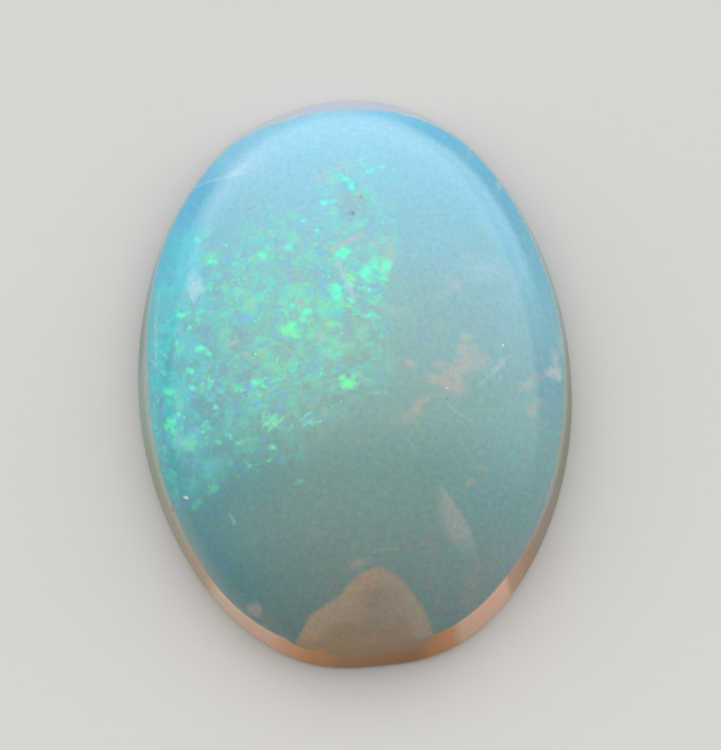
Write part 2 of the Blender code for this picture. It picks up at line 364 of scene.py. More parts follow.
# Pale haze.
OVALS["haze"] = {
    "crack": (247, 165, 0.95, 0.5, 25), "upper_right": (486, 270, 1.3, 0.5, -8),
    "upper_right_arc": (517, 288, 0.2, 0.7, -20),
}

# Lines: two ends and width.
LINES = {}
# Needles inside the stone, pinkish and lilac, and thin pinkish lines.
LINES["needle"] = {
    "bar": ((331, 250), (362, 234), 0.12), "v_left": ((229, 345), (237, 341), 0.09),
    "v_right": ((237, 341), (240, 348), 0.06), "small": ((245, 354), (248, 354), 0.09),
}
LINES["lilac"] = {"bar": ((337, 260), (346, 281), 0.1), "bar_end": ((346, 281), (353, 297), 0.125)}
LINES["rose"] = {
    "foot_dot": ((254, 608.5), (257.5, 609), 0.12), "rim_upper": ((497.5, 183), (499.5, 187), 0.12),
    "notched_left": ((466.5, 485.5), (469, 480), 0.1), "notched_right": ((470, 481), (474.5, 480.5), 0.11),
    "notched_foot": ((468, 485), (472, 484), 0.07), "beside_hatch": ((325.5, 404), (325, 418), 0.06),
    "squiggle_a": ((364, 562), (372, 553), 0.065), "squiggle_b": ((372, 553), (381, 549), 0.065),
    "squiggle_c": ((381, 549), (399, 549), 0.06), "squiggle_d": ((399, 549), (411, 547), 0.05),
}
# The long slanting stroke beside the large cloud.
LINES["stroke"] = {
    "top": ((509, 355), (503, 361), 0.05), "middle": ((503, 361), (493, 372), 0.17),
    "foot": ((493, 372), (478, 386), 0.05),
}
# Soft pale lines, and hair-thin ones.
LINES["soft"] = {
    "left_top": ((159, 292), (156, 319), 0.04), "left_mid": ((156, 319), (156, 345), 0.07),
    # The crack's line is partly its own pale colour and partly painted glint, brightest in its middle.
    "left_foot": ((156, 345), (156, 368), 0.04), "crack_start": ((195, 187), (218, 179), 0.03),
    "crack": ((218, 179), (228, 176), 0.06), "crack_glint": ((228, 176), (239, 171), 0.15),
    "crack_end": ((239, 171), (247, 163), 0.07), "low_left": ((231.5, 518), (234, 523), 0.06),
    "low_left_faint": ((228.5, 512), (231.5, 518), 0.02),
}
LINES["hair"] = {
    "arc_top": ((446, 402), (455, 411), 0.03), "arc": ((455, 411), (464, 416), 0.05),
    "arc_foot": ((464, 416), (471, 420), 0.03), "thin": ((408, 438), (417, 454), 0.03),
    "upper_right": ((470, 266), (493, 266), 0.03), "upper_right_low": ((476, 275), (499, 280), 0.04),
}
# Thin bright strokes of the play of colour, low down.
LINES["fire_stroke"] = {
    "hatch_a": ((262, 428), (277, 414), 0.06), "hatch_b": ((268, 431), (284, 417), 0.06),
    "hatch_c": ((263, 417), (283, 428), 0.05), "hatch_d": ((274, 413), (279, 428), 0.04),
    "fan_a": ((300, 421), (312, 411), 0.05), "fan_b": ((303, 426), (318, 416), 0.06),
    "fan_c": ((311, 424), (322, 421), 0.05), "right_a": ((289, 430), (293, 424), 0.04),
    "low": ((244, 459), (247, 464), 0.04),
}

# Noise varies about this value. Its kinds: size of the grain in millimetres, and detail.
NOISE_MIDDLE = 0.5
GRAINS = {
    "ragged": (0.13, 3.0), "cloudy": (0.26, 4.0), "patchy": (0.22, 4.0), "lively": (0.14, 3.0),
    "body": (2.2, 2.0), "bright": (0.1, 3.0), "hue": (0.12, 4.0), "drift": (0.5, 4.0), "wedge": (0.5, 3.0),
    "fire": (0.8, 4.0), "bend": (0.16, 2.0), "glow": (0.55, 3.0), "patch": (0.7, 2.0), "spark": (0.5, 2.0),
    "polish": (1.4, 4.0), "waves": (1.1, 1.0), "pits": (0.05, 2.0), "floor": (30.0, 3.0), "grit": (0.35, 2.0),
}
# A value from the first number to the second is turned into one from the third to the fourth, or from 0 to 1.
FADES = {
    "patchy": (0.3, 0.62, 0.68, 1.0), "lively": (0.3, 0.65, 0.62, 1.0), "on_dome": (-0.05, 0.0),
    "on_wall": (-0.05, 0.0, 1.0, 0.0), "wedge": (0.2, 0.7, 0.7, 1.0),
    "middle_shift": (0.32, 0.6, 0.0, 0.27), "top_shift": (0.7, 0.9, 0.0, 0.15),
    "low_shift": (0.24, 0.4, 0.12, 0.0), "foot_shift": (0.17, 0.27, -0.1, 0.0),
    "left_side": (-0.85, -0.05, 1.0, 0.0), "right_side": (0.2, 0.8),
    "milky_rim_and_sheen": (0.48, 1.1, 0.85, 0.0), "sheen_near_top": (0.55, 0.8),
    "bright": (0.3, 0.7, 0.968, 1.032), "drift": (0.3, 0.7), "potch_low": (0.06, 0.09, 1.0, 0.0),
    "potch_edge": (-0.85, -0.1), "potch_right": (0.02, 0.17),
    "potch_foot_glow": (0.035, 0.06, 1.0, 0.0), "potch_outline": (-0.08, 0.05, 1.0, 0.0),
    "potch_on_wall": (1.0, 1.65, 1.0, 0.0), "speckle": (0.35, 0.65, 0.0, 0.22),
    "shoulder_highlight": (1.02, 1.42, 0.5, 0.0), "off_potch_wall": (0.0, 0.6, 1.0, 0.0),
    "above_foot": (0.16, 0.3), "fire_edge": (-0.55, 0.15, 1.0, 0.0),
    "fire_cut": (-0.05, 0.12), "fire_on_wall": (-0.05, 0.05, 0.35, 1.0),
    "fire_at_rim": (0.1, 0.5, 0.25, 1.0), "fire_heart": (-0.9, 0.8, 1.0, 0.25),
    "fire_left": (-0.9, -0.45, 1.0, 0.0), "glow": (0.32, 0.68, 0.02, 0.42),
    "glow_left": (0.0, 1.0, 1.0, 1.35), "glow_right": (-0.32, 0.0, 1.0, 0.55),
    "warm_right": (-0.8, 0.1, -0.12, 0.05), "cool_top": (0.7, 0.86, 0.0, -0.16),
    "patch": (0.4, 0.62, 0.15, 0.6), "spark": (0.45, 0.62, 0.05, 0.75),
    "polish": (0.35, 0.75, 0.045, 0.085), "ground": (1.03, 1.12), "pits": (0.7, 0.8),
    "floor": (0.3, 0.7), "floor_roughness": (0.3, 0.7, 0.82, 0.95),
    "softbox": (-0.29, 0.0), "horizon": (0.0, 0.1),
}
# How far a kind of unevenness shifts what it acts on.
SHIFTS = {
    "fire_edge": 2.2, "fire_heart": 1.8, "fire_bend": 0.22, "body_up": 0.1, "body_across": 0.25,
    "milky_rim_and_sheen": 0.3, "potch_low": 0.02, "potch_edge": 0.5, "potch_outline": 0.08, "wall_top": 0.3,
    "shoulder_highlight": 0.2, "pits": -0.05,
}
# Single colours.
TINTS = {
    # The milky band near the top of the rim is partly the stone's milky blue and partly painted sheen of the
    # light above.
    "milky_rim_and_sheen": (0.235, 0.487, 0.64), "wedge": (0.292, 0.335, 0.31), "potch": (0.234, 0.19, 0.134),
    "potch_pale": (0.256, 0.21, 0.156), "potch_low": (0.235, 0.182, 0.12),
    "potch_left": (0.325, 0.248, 0.174), "potch_right": (0.285, 0.245, 0.19),
    # The patch's orange at the foot and on the wall below it is painted glow of light passing through the
    # stone.
    "potch_foot_glow": (0.28, 0.188, 0.105), "potch_wall_glow": (0.275, 0.178, 0.09),
    # The pale line along the shoulder is a painted highlight.
    "shoulder_highlight": (0.34, 0.43, 0.395), "glow": (0.13, 0.6, 0.44), "glow_left": (0.04, 0.56, 0.59),
    "floor": (0.55, 0.54, 0.52), "floor_pale": (0.57, 0.56, 0.54),
}
# Shares of the red, green and blue beneath that are kept.
SHADES = {
    "left_side": (0.42, 0.92, 1.1), "right_side": (1.0, 1.1, 1.2), "speckle": (0.75, 0.78, 0.8),
    "blush": (1.6, 1.035, 0.98), "rosy": (1.62, 1.12, 1.01), "dulled": (0.97, 0.86, 0.82),
    "smeared": (1.6, 1.02, 0.95),
}
# Colours of the patches in the play of colour, from the rare violet blue to the rare brownish pink.
FIRE_HUES = (
    (0.05, (0.17, 0.3, 0.6)), (0.15, (0.09, 0.44, 0.61)), (0.3, (0.08, 0.59, 0.57)),
    (0.52, (0.1, 0.66, 0.46)), (0.74, (0.14, 0.7, 0.37)), (0.88, (0.29, 0.62, 0.3)),
    (0.96, (0.33, 0.44, 0.35)),
)
# Angular patches: size in millimetres, softness, and the random values at which one starts and is full.
LARGE_PATCHES = (0.29, 0.75, 0.38, 0.80)
MIDDLE_PATCHES = (0.165, 0.50, 0.52, 0.88)
SMALL_PATCHES = (0.085, 0.25, 0.68, 0.95)
LARGE_PATCH_STRENGTH = 0.36
# The middle and small ones are drawn out along streaks.
STREAK_TURN = -38.0
STREAK_SCALE = (0.72, 1.2, 1.0)
# Share of the random hues in the fine unevenness of the whole stone.
HUE_UNEVENNESS = 0.32

# Kinds of edge of the marks: grain, how far it wanders, and how far the edge is moved, in millimetres.
EDGES = {
    "cloudy": ("cloudy", 0.4, 0.0), "curdled": ("cloudy", 0.26, -0.05), "ragged": ("ragged", 0.22, 0.0),
    "grown": ("ragged", 0.22, -0.015), "rough": ("ragged", 0.11, 0.0), "worn": ("ragged", 0.088, 0.0),
    "fine": ("ragged", 0.066, 0.0),
}
# Share of the softness of a mark's edge that lies outside it.
OUTER_SOFTNESS = 0.6
# Marks in the order in which they are laid: edge, cover, tint or shade, strength, and softness of the edge.
INNER_MARKS = {
    "haze": ("cloudy", "even", (0.36, 0.54, 0.66), 0.32, 0.35),
    "veil": ("curdled", "patchy", "blush", 0.6, 0.12),
    "cloud": ("curdled", "patchy", "blush", 0.95, 0.1),
    "rose": ("clean", "even", "rosy", 0.9, 0.045),
    "grey": ("curdled", "patchy", (0.3, 0.285, 0.25), 0.75, 0.1),
    "faint": ("curdled", "patchy", "blush", 0.3, 0.14),
    # The whitish veil by the right-hand girdle is a painted glint.
    "corner_glint": ("curdled", "patchy", (0.39, 0.465, 0.465), 1.0, 0.12),
    "stroke": ("fine", "even", (0.3, 0.425, 0.435), 0.8, 0.08),
}
FIRE_MARKS = {
    "milk": ("curdled", "even", (0.125, 0.505, 0.62), 0.75, 0.15),
    "dull": ("cloudy", "even", "dulled", 0.85, 0.22),
    "smear": ("cloudy", "even", "smeared", 0.22, 0.2),
    "pearl": ("curdled", "even", (0.37, 0.56, 0.66), 0.62, 0.15),
    "hint": ("cloudy", "even", (0.305, 0.43, 0.425), 0.75, 0.18),
    "soft_blue": ("ragged", "even", (0.145, 0.37, 0.61), 0.75, 0.1),
    "soft_cyan": ("ragged", "even", (0.07, 0.55, 0.57), 0.5, 0.16),
    "soft_green": ("ragged", "even", (0.15, 0.62, 0.38), 0.65, 0.13),
    "green": ("grown", "lively", (0.105, 0.8, 0.5), 1.0, 0.085),
    "cyan": ("grown", "lively", (0.11, 0.76, 0.6), 1.0, 0.06),
    "yellow": ("ragged", "even", (0.15, 0.78, 0.35), 0.92, 0.075),
    "fire_stroke": ("rough", "even", (0.19, 0.74, 0.43), 0.58, 0.05),
    "needle": ("clean", "even", (0.33, 0.41, 0.4), 0.85, 0.05),
    "lilac": ("clean", "even", (0.31, 0.46, 0.52), 0.85, 0.05),
    "soft": ("worn", "even", (0.375, 0.57, 0.68), 0.62, 0.07),
    "hair": ("clean", "even", (0.36, 0.46, 0.47), 0.42, 0.05),
    "dark": ("clean", "even", (0.18, 0.27, 0.23), 0.75, 0.04),
    "deep_dot": ("clean", "even", (0.06, 0.215, 0.16), 0.85, 0.04),
    "dim": ("clean", "even", (0.38, 0.62, 0.5), 0.7, 0.03),
    "brown": ("clean", "even", (0.3, 0.235, 0.15), 0.8, 0.03),
}
TOP_MARKS = {
    "nick": ("clean", "even", (0.62, 0.68, 0.68), 0.8, 0.03),
    "pale": ("clean", "even", (0.7, 0.78, 0.8), 0.8, 0.02),
}

# The stone's shine, roughness where it is only ground, and the strength and depth in mm of both reliefs.
STONE_IOR = 1.5
GROUND_ROUGHNESS = 0.38
STONE_RELIEF = (0.25, 0.02)
FLOOR_RELIEF = (0.15, 0.03)


def departures_at(angles, places):
    """The sum of the local departures at each angle, each one fading out smoothly from its place."""
    total = np.zeros_like(angles)
    for place, spread, amount in places.values():
        away = angles - math.radians(place)
        away = (away + math.pi) % math.tau - math.pi
        total += amount * np.exp(-((away / math.radians(spread)) ** 2))
    return total


def even_oval(angles):
    """Distance from the stone's axis to the girdle, without its departures."""
    across = np.abs(np.cos(angles)) / HALF_WIDTH
    along = np.abs(np.sin(angles)) / HALF_LENGTH
    oval = (across ** OVAL_POWER + along ** OVAL_POWER) ** (-1 / OVAL_POWER)
    return oval * (1 + EGG_SHARE * np.sin(3 * angles) + SQUARE_SHARE * np.cos(4 * angles))


def dome_height(share):
    """Height of the dome at a share of the way out from its middle to the even shoulder."""
    cut = math.sqrt(1 - DOME_CUT ** 2)
    return WALL_HEIGHT + DOME_RISE * (np.sqrt(1 - (DOME_CUT * share) ** 2) - cut) / (1 - cut)


def between(start, end, share):
    """A row part of the way from one row to another."""
    return tuple(a + (b - a) * share for a, b in zip(start, end))


def bend(start, corner, end):
    """Rows that leave start towards corner and arrive at end from corner, start itself left out."""
    shares = [row / BEND_ROWS for row in range(1, BEND_ROWS + 1)]
    return [between(between(start, corner, t), between(corner, end, t), t) for t in shares]


def straight(start, end, rows):
    """Evenly spaced rows from start to end, start itself left out."""
    return [between(start, end, row / rows) for row in range(1, rows + 1)]


def stone_rows(angles):
    """Rows from near the dome's top to the back's middle, as (reach at each angle, height, zone)."""
    girdle_reach = even_oval(angles) + departures_at(angles, OUTLINE_DEPARTURES)
    lean = WALL_LEAN + departures_at(angles, WALL_DEPARTURES)
    even_shoulder = even_oval(angles) - WALL_LEAN
    cut_away = 1 - (girdle_reach - lean) / even_shoulder
    rows = []
    dome_end = 1 - SHOULDER_ROUNDING / (HALF_WIDTH - WALL_LEAN)
    for row in range(1, DOME_ROWS + 1):
        share = dome_end * row / DOME_ROWS
        on_dome = share - cut_away * share ** CROWDING_POWER
        rows.append((even_shoulder * on_dome, dome_height(on_dome), share))
    shoulder = (girdle_reach - lean, dome_height(1 - cut_away), SHOULDER_ZONE)
    girdle = (girdle_reach, BACK_BEVEL, GIRDLE_ZONE)
    back_edge = (girdle_reach * (1 - BACK_BEVEL / HALF_WIDTH), 0.0, BACK_EDGE_ZONE)
    back_middle = (np.zeros_like(angles), 0.0, BACK_MIDDLE_ZONE)
    wall_length = WALL_HEIGHT - BACK_BEVEL
    wall_top = between(shoulder, girdle, SHOULDER_ROUNDING / wall_length)
    wall_foot = between(girdle, shoulder, GIRDLE_ROUNDING / wall_length)
    bevel_top = between(girdle, back_edge, GIRDLE_ROUNDING / BACK_BEVEL)
    bevel_foot = between(back_edge, girdle, BACK_EDGE_ROUNDING / BACK_BEVEL)
    back_start = between(back_edge, back_middle, BACK_EDGE_ROUNDING / HALF_WIDTH)
    rows += bend(rows[-1], shoulder, wall_top)
    rows += straight(wall_top, wall_foot, WALL_ROWS)
    rows += bend(wall_foot, girdle, bevel_top)
    rows += straight(bevel_top, bevel_foot, BEVEL_ROWS)
    rows += bend(bevel_foot, back_edge, back_start)
    rows += straight(back_start, back_middle, BACK_ROWS)[:-1]
    return rows


def stone_points():
    """Every point of the stone with its zone: the dome's top, the rings, and the back's middle."""
    angles = np.arange(STEPS_ROUND) * math.tau / STEPS_ROUND
    rings, zones = [], [np.zeros(1)]
    for reach, height, zone in stone_rows(angles):
        heights = np.full(STEPS_ROUND, height)
        rings.append(np.column_stack((reach * np.cos(angles), reach * np.sin(angles), heights)))
        zones.append(np.full(STEPS_ROUND, zone))
    points = np.vstack([[[0.0, 0.0, WALL_HEIGHT + DOME_RISE]], *rings, [[0.0, 0.0, 0.0]]])
    zones = np.concatenate([*zones, [BACK_MIDDLE_ZONE]])
    middle = (points.min(axis=0) + points.max(axis=0)) / 2
    points[:, :2] -= middle[:2]
    return points, zones, len(rings)


def stone_faces(ring_count):
    """Faces between neighbouring rings, and the fans that close the dome's top and the back's middle."""
    def at(ring, step):
        return 1 + ring * STEPS_ROUND + step % STEPS_ROUND

    last = 1 + ring_count * STEPS_ROUND
    steps = range(STEPS_ROUND)
    faces = [(0, at(0, step), at(0, step + 1)) for step in steps]
    for ring in range(ring_count - 1):
        faces += [(at(ring, s), at(ring + 1, s), at(ring + 1, s + 1), at(ring, s + 1)) for s in steps]
    faces += [(at(ring_count - 1, step), last, at(ring_count - 1, step + 1)) for step in steps]
    return faces


def camera_axes():
    """Right, up and backwards of the camera, in the stone's frame."""
    left, foot = math.radians(TILT_TOWARDS_LEFT), math.radians(TILT_TOWARDS_FOOT)
    back = Vector((-math.sin(left), -math.sin(foot), 0.0))
    back.z = math.sqrt(1 - back.x ** 2 - back.y ** 2)
    up = (Vector((0, 1, 0)) - back * back.y).normalized()
    up = Matrix.Rotation(math.radians(-ROLL), 3, back) @ up
    return up.cross(back), up, back


def camera_target():
    """The point in the plane of the girdle that the camera looks at, which is in the middle of the frame."""
    right, up, back = camera_axes()
    across = FRAME_WIDTH_PX / 2 - GIRDLE_CENTRE_PX[0]
    above = GIRDLE_CENTRE_PX[1] - FRAME_HEIGHT_PX / 2
    return Vector((0.0, 0.0, BACK_BEVEL)) + (right * across + up * above) * MM_PER_PX


def in_picture(points):
    """Where points of the stone are in the photograph."""
    right, up, back = (np.array(axis) for axis in camera_axes())
    offsets = points - np.array(camera_target())
    px_per_mm = CAMERA_DISTANCE / (CAMERA_DISTANCE - offsets @ back) / MM_PER_PX
    x = FRAME_WIDTH_PX / 2 + offsets @ right * px_per_mm
    y = FRAME_HEIGHT_PX / 2 - offsets @ up * px_per_mm
    return x, y


def smooth(values, low, high):
    """0 below low, 1 above high, and an eased rise in between."""
    t = np.clip((values - low) / (high - low), 0.0, 1.0)
    return t * t * (3 - 2 * t)


def marks_field(x, y, marks):
    """Distance in millimetres to the nearest of the oval marks, below 0 inside one."""
    nearest = np.full(len(x), FAR)
    for mark in marks.values():
        at_x, at_y, width, height, turn = (*mark, 0)[:5]
        away_x = (x - at_x) * MM_PER_PX
        away_y = (at_y - y) * MM_PER_PX
        cos, sin = math.cos(math.radians(turn)), math.sin(math.radians(turn))
        along = (away_x * cos + away_y * sin) / (width / 2)
        across = (away_y * cos - away_x * sin) / (height / 2)
        size = np.sqrt(along ** 2 + across ** 2)
        nearest = np.minimum(nearest, (size - 1) * min(width, height) / 2)
    return nearest


def segment_distance(x, y, start, end):
    """Distance in millimetres from each place to a straight line between two places of the photograph."""
    run = np.array(end, float) - np.array(start, float)
    share = np.clip(((x - start[0]) * run[0] + (y - start[1]) * run[1]) / (run @ run), 0.0, 1.0)
    return np.hypot(x - start[0] - share * run[0], y - start[1] - share * run[1]) * MM_PER_PX


def lines_field(x, y, lines):
    """Distance in millimetres to the nearest of the thin lines, below 0 inside one."""
    distances = [segment_distance(x, y, start, end) - width / 2 for start, end, width in lines.values()]
    return np.min(distances, axis=0)


def outline_field(x, y, outline):
    """Distance in millimetres to a closed outline, below 0 inside it."""
    places = [place for name, place in outline]
    nearest = np.full(len(x), np.inf)
    inside = np.zeros(len(x), bool)
    for (x0, y0), (x1, y1) in zip(places, places[1:] + places[:1]):
        nearest = np.minimum(nearest, segment_distance(x, y, (x0, y0), (x1, y1)))
        if y0 != y1:
            crosses = ((y0 > y) != (y1 > y)) & (x < (x1 - x0) * (y - y0) / (y1 - y0) + x0)
            inside ^= crosses
    return np.where(inside, -nearest, nearest)


def fire_cut_field(x, y):
    """Distance in millimetres to the left of the straight cut, growing quickly below the cut's foot."""
    (top_x, top_y), (foot_x, foot_y) = FIRE_CUT_TOP, FIRE_CUT_FOOT
    cut_x = top_x + (y - top_y) / (foot_y - top_y) * (foot_x - top_x)
    return (cut_x - x + np.maximum(y - foot_y, 0.0) * FIRE_CUT_SLOPE) * MM_PER_PX


def edge_at(y, edge):
    """Where an edge that runs downwards is at each height of the photograph."""
    return np.interp(y, [place[1] for place in edge], [place[0] for place in edge])


def wedge_field(x, y):
    """Strength of the pale wedge: full inside its sharp right edge, fading to the left and the foot."""
    below_top, below_foot = y - WEDGE_RIGHT[0][1], y - WEDGE_RIGHT[-1][1]
    inside = smooth(edge_at(y, WEDGE_RIGHT) - x, *WEDGE_RIGHT_FADE)
    inside *= smooth(x - edge_at(y, WEDGE_LEFT), *WEDGE_LEFT_FADE) * smooth(below_top, *WEDGE_TOP_FADE)
    middle, foot = smooth(below_top, *WEDGE_MIDDLE_DIMS), smooth(below_foot, *WEDGE_FOOT_DIMS)
    return inside * (1 - WEDGE_DIMMING[0] * middle - WEDGE_DIMMING[1] * foot)


def around(angles, places):
    """Values at each angle, blended smoothly between the named places: one row per angle."""
    stops = sorted(places.values())
    stops = [(stops[-1][0] - 360, stops[-1][1])] + stops + [(stops[0][0] + 360, stops[0][1])]
    degrees = np.degrees(angles) % 360
    values = np.zeros((len(angles), np.size(stops[0][1])))
    for (a0, v0), (a1, v1) in zip(stops, stops[1:]):
        here = (degrees >= a0) & (degrees <= a1)
        share = smooth(degrees[here], a0, a1)[:, None]
        values[here] = np.array(v0) * (1 - share) + np.array(v1) * share
    return values


def depth_inside_outline(x, y):
    """Distance in millimetres from each place in to the outline of the stone that the camera sees."""
    right, down = x - OUTLINE_CENTRE_PX[0], y - OUTLINE_CENTRE_PX[1]
    angles, reaches = np.arctan2(-down, right), np.hypot(right, down)
    rings = (len(x) - 2) // STEPS_ROUND
    directions = np.radians(np.arange(0.0, 360.0, OUTLINE_STEP))
    outline = np.zeros(len(directions))
    for ring in range(rings):
        part = slice(1 + ring * STEPS_ROUND, 1 + (ring + 1) * STEPS_ROUND)
        outline = np.maximum(outline, np.interp(directions, angles[part], reaches[part], period=math.tau))
    return (np.interp(angles, directions, outline, period=math.tau) - reaches) * MM_PER_PX


def surface_length(zones):
    """Length along the surface from the dome's middle to a zone."""
    below_shoulder = np.maximum(zones - SHOULDER_ZONE, 0.0)
    return DOME_SPAN * np.minimum(zones, SHOULDER_ZONE) + WALL_SPAN * below_shoulder


def placed_fields(x, y, zones):
    """Distances to everything that is marked at its own place in the photograph."""
    fields = {name: marks_field(x, y, marks) for name, marks in OVALS.items()}
    fields.update({name: lines_field(x, y, lines) for name, lines in LINES.items()})
    fields["fire"] = outline_field(x, y, FIRE_ZONE)
    from_girdle = np.abs(zones - GIRDLE_ZONE) * WALL_SPAN - NICK_HEIGHT / 2
    fields["nick"] = np.maximum(fields["nick"], from_girdle)
    return {name: np.where(zones < FRONT_END, distances, FAR) for name, distances in fields.items()}


def potch_wall_field(degrees):
    """Strength of the grey patch's colours on the wall at each angle, where painted orange glow stands for
    light passing through the stone's foot.
    """
    start, end = POTCH_WALL
    entered = smooth(degrees, start - POTCH_WALL_FADE, start + POTCH_WALL_FADE)
    return entered * (1 - smooth(degrees, end - POTCH_WALL_FADE, end + POTCH_WALL_FADE))


def mark_stone(mesh, points, zones):
    """Stores where everything painted on the stone lies, as one named value per point of the mesh."""
    x, y = in_picture(points)
    angles = np.arctan2(points[:, 1], points[:, 0])
    depth = depth_inside_outline(x, y)
    band = around(angles, RIM_SHADE_BAND)
    fields = placed_fields(x, y, zones)
    fields.update({
        "zone": zones,
        "up": (STONE_FOOT_PX - y) / (STONE_FOOT_PX - STONE_TOP_PX),
        "across": (x - GIRDLE_CENTRE_PX[0]) * MM_PER_PX / HALF_WIDTH,
        "rim": depth,
        "fire_cut": fire_cut_field(x, y),
        "potch": outline_field(x, y, POTCH_OUTLINE),
        "wedge": wedge_field(x, y) * (zones < FRONT_END),
        # The deeper blue band along the rim: painted shade where the rim reflects no light.
        "deep": (1 - smooth(depth - band[:, 0], -band[:, 1], band[:, 1])) * band[:, 2],
        "wall": surface_length(around(angles, WALL_STARTS)[:, 0]) - surface_length(zones),
        "potch_wall_glow": potch_wall_field(np.degrees(angles) % 360),
    })
    for name, values in fields.items():
        stored = mesh.attributes.new(name, "FLOAT", "POINT").data
        stored.foreach_set("value", values.astype(np.float32))
    # Colours of the wall, partly painted glow, and of the rim's band of painted shade.
    for name, colours in {"wall_tint_and_glow": around(angles, WALL_TINTS_AND_GLOW), "rim_shade_tint": band[:, 3:]}.items():
        stored = mesh.attributes.new(name, "FLOAT_COLOR", "POINT").data
        colours = np.column_stack((colours, np.ones(len(colours))))
        stored.foreach_set("color", colours.astype(np.float32).ravel())


class Graph:
    """Shorthand for building a node tree, with the direction of the view or the place in millimetres."""

    def __init__(self, tree):
        self.tree = tree
        coordinates = self.node("ShaderNodeTexCoord").outputs
        self.direction = coordinates["Generated"]
        self.place = self.scaled(coordinates["Object"], 1 / MM)

    def node(self, kind, inputs=None, **settings):
        """A node with its settings, and its inputs set to values or linked from sockets."""
        made = self.tree.nodes.new(kind)
        for name, value in settings.items():
            setattr(made, name, value)
        for key, value in (inputs or {}).items():
            self.feed(made.inputs[key], value)
        return made

    def feed(self, socket, value):
        """Links a socket or sets a value."""
        if isinstance(value, bpy.types.NodeSocket):
            self.tree.links.new(value, socket)
        else:
            socket.default_value = value

    def sums(self, operation, a, b=0.0, c=0.0):
        """One arithmetic step."""
        return self.node("ShaderNodeMath", {0: a, 1: b, 2: c}, operation=operation).outputs[0]

    def times(self, value, *others):
        """Values multiplied."""
        for other in others:
            value = self.sums("MULTIPLY", value, other)
        return value

    def shifted(self, value, uneven, name):
        """A value shifted by an uneven one, as far as the named shift goes."""
        return self.sums("MULTIPLY_ADD", uneven, SHIFTS[name], value)

    def eased(self, value, low, high, start=0.0, end=1.0):
        """The value mapped smoothly from low..high to start..end."""
        inputs = {"Value": value, "From Min": low, "From Max": high, "To Min": start, "To Max": end}
        return self.node("ShaderNodeMapRange", inputs, interpolation_type="SMOOTHSTEP").outputs[0]

    def faded(self, value, name):
        """The value mapped by the named fade."""
        return self.eased(value, *FADES[name])

    def mixed(self, factor, a, b, blend="MIX"):
        """Two colours blended."""
        a, b = ((*c, 1.0) if isinstance(c, tuple) and len(c) == 3 else c for c in (a, b))
        inputs = {0: factor, 6: a, 7: b}
        return self.node("ShaderNodeMix", inputs, data_type="RGBA", blend_type=blend).outputs[2]

    def shaded(self, colour, shares):
        """A colour with only these shares of its red, green and blue."""
        return self.mixed(1.0, colour, shares, "MULTIPLY")

    def named(self, name, output="Fac"):
        """A value that is stored in the mesh."""
        return self.node("ShaderNodeAttribute", attribute_name=name).outputs[output]

    def vector(self, operation, a, b):
        """One arithmetic step with vectors."""
        return self.node("ShaderNodeVectorMath", {0: a, 1: b}, operation=operation).outputs[0]

    def scaled(self, vector, scale):
        """A vector made longer or shorter."""
        return self.node("ShaderNodeVectorMath", {0: vector, "Scale": scale}, operation="SCALE").outputs[0]

    def grain(self, name, output="Fac"):
        """Smooth noise with the named kind of grain."""
        size, detail = GRAINS[name]
        inputs = {"Vector": self.place, "Scale": 1 / size, "Detail": detail}
        return self.node("ShaderNodeTexNoise", inputs).outputs[output]

    def uneven(self, name):
        """The same noise, varying about 0."""
        return self.sums("SUBTRACT", self.grain(name), NOISE_MIDDLE)

    def patchy(self, name):
        """The same noise, mapped by the fade of that name."""
        return self.faded(self.grain(name), name)

    def cells(self, vector, size, softness):
        """Two random values of angular cells of about this size, which run softly into each other."""
        inputs = {"Vector": vector, "Scale": 1 / size, "Smoothness": softness}
        made = self.node("ShaderNodeTexVoronoi", inputs, feature="SMOOTH_F1")
        parts = self.node("ShaderNodeSeparateColor", {0: made.outputs["Color"]}).outputs
        return parts[0], parts[1]

    def ramp(self, value, stops):
        """Colours along a value."""
        made = self.node("ShaderNodeValToRGB", {0: value})
        elements = made.color_ramp.elements
        while len(elements) < len(stops):
            elements.new(0.5)
        for element, (place, colour) in zip(elements, stops):
            element.position = place
            element.color = (*colour, 1.0)
        return made.outputs[0]

    def bumped(self, height, strength, depth):
        """Surface directions of a fine relief whose depth is in millimetres."""
        inputs = {"Height": height, "Strength": strength, "Distance": depth * MM}
        return self.node("ShaderNodeBump", inputs).outputs[0]


class Marks:
    """Lays marks over a colour, with the kinds of edge and cover that they share."""

    def __init__(self, graph):
        self.graph = graph
        self.uneven = {name: graph.uneven(name) for name in ("cloudy", "ragged")}
        self.edges = {"clean": 0.0}
        for name, (grain, reach, grown) in EDGES.items():
            self.edges[name] = graph.sums("MULTIPLY_ADD", self.uneven[grain], reach, grown)
        self.covers = {name: graph.patchy(name) for name in ("patchy", "lively")}
        self.shades = {}

    def tint(self, tint, colour):
        """A tint itself, or a shade of the colour over which that shade was first laid."""
        if tint in SHADES and tint not in self.shades:
            self.shades[tint] = self.graph.shaded(colour, SHADES[tint])
        return self.shades.get(tint, tint)

    def laid(self, colour, kinds):
        """A colour with the marks of these kinds laid over it, one kind after another."""
        graph = self.graph
        for name, (edge, cover, tint, strength, soft) in kinds.items():
            distance = graph.sums("ADD", graph.named(name), self.edges[edge])
            if cover in self.covers:
                strength = graph.times(self.covers[cover], strength)
            mask = graph.eased(distance, -soft, soft * OUTER_SOFTNESS, strength, 0.0)
            colour = graph.mixed(mask, colour, self.tint(tint, colour))
        return colour


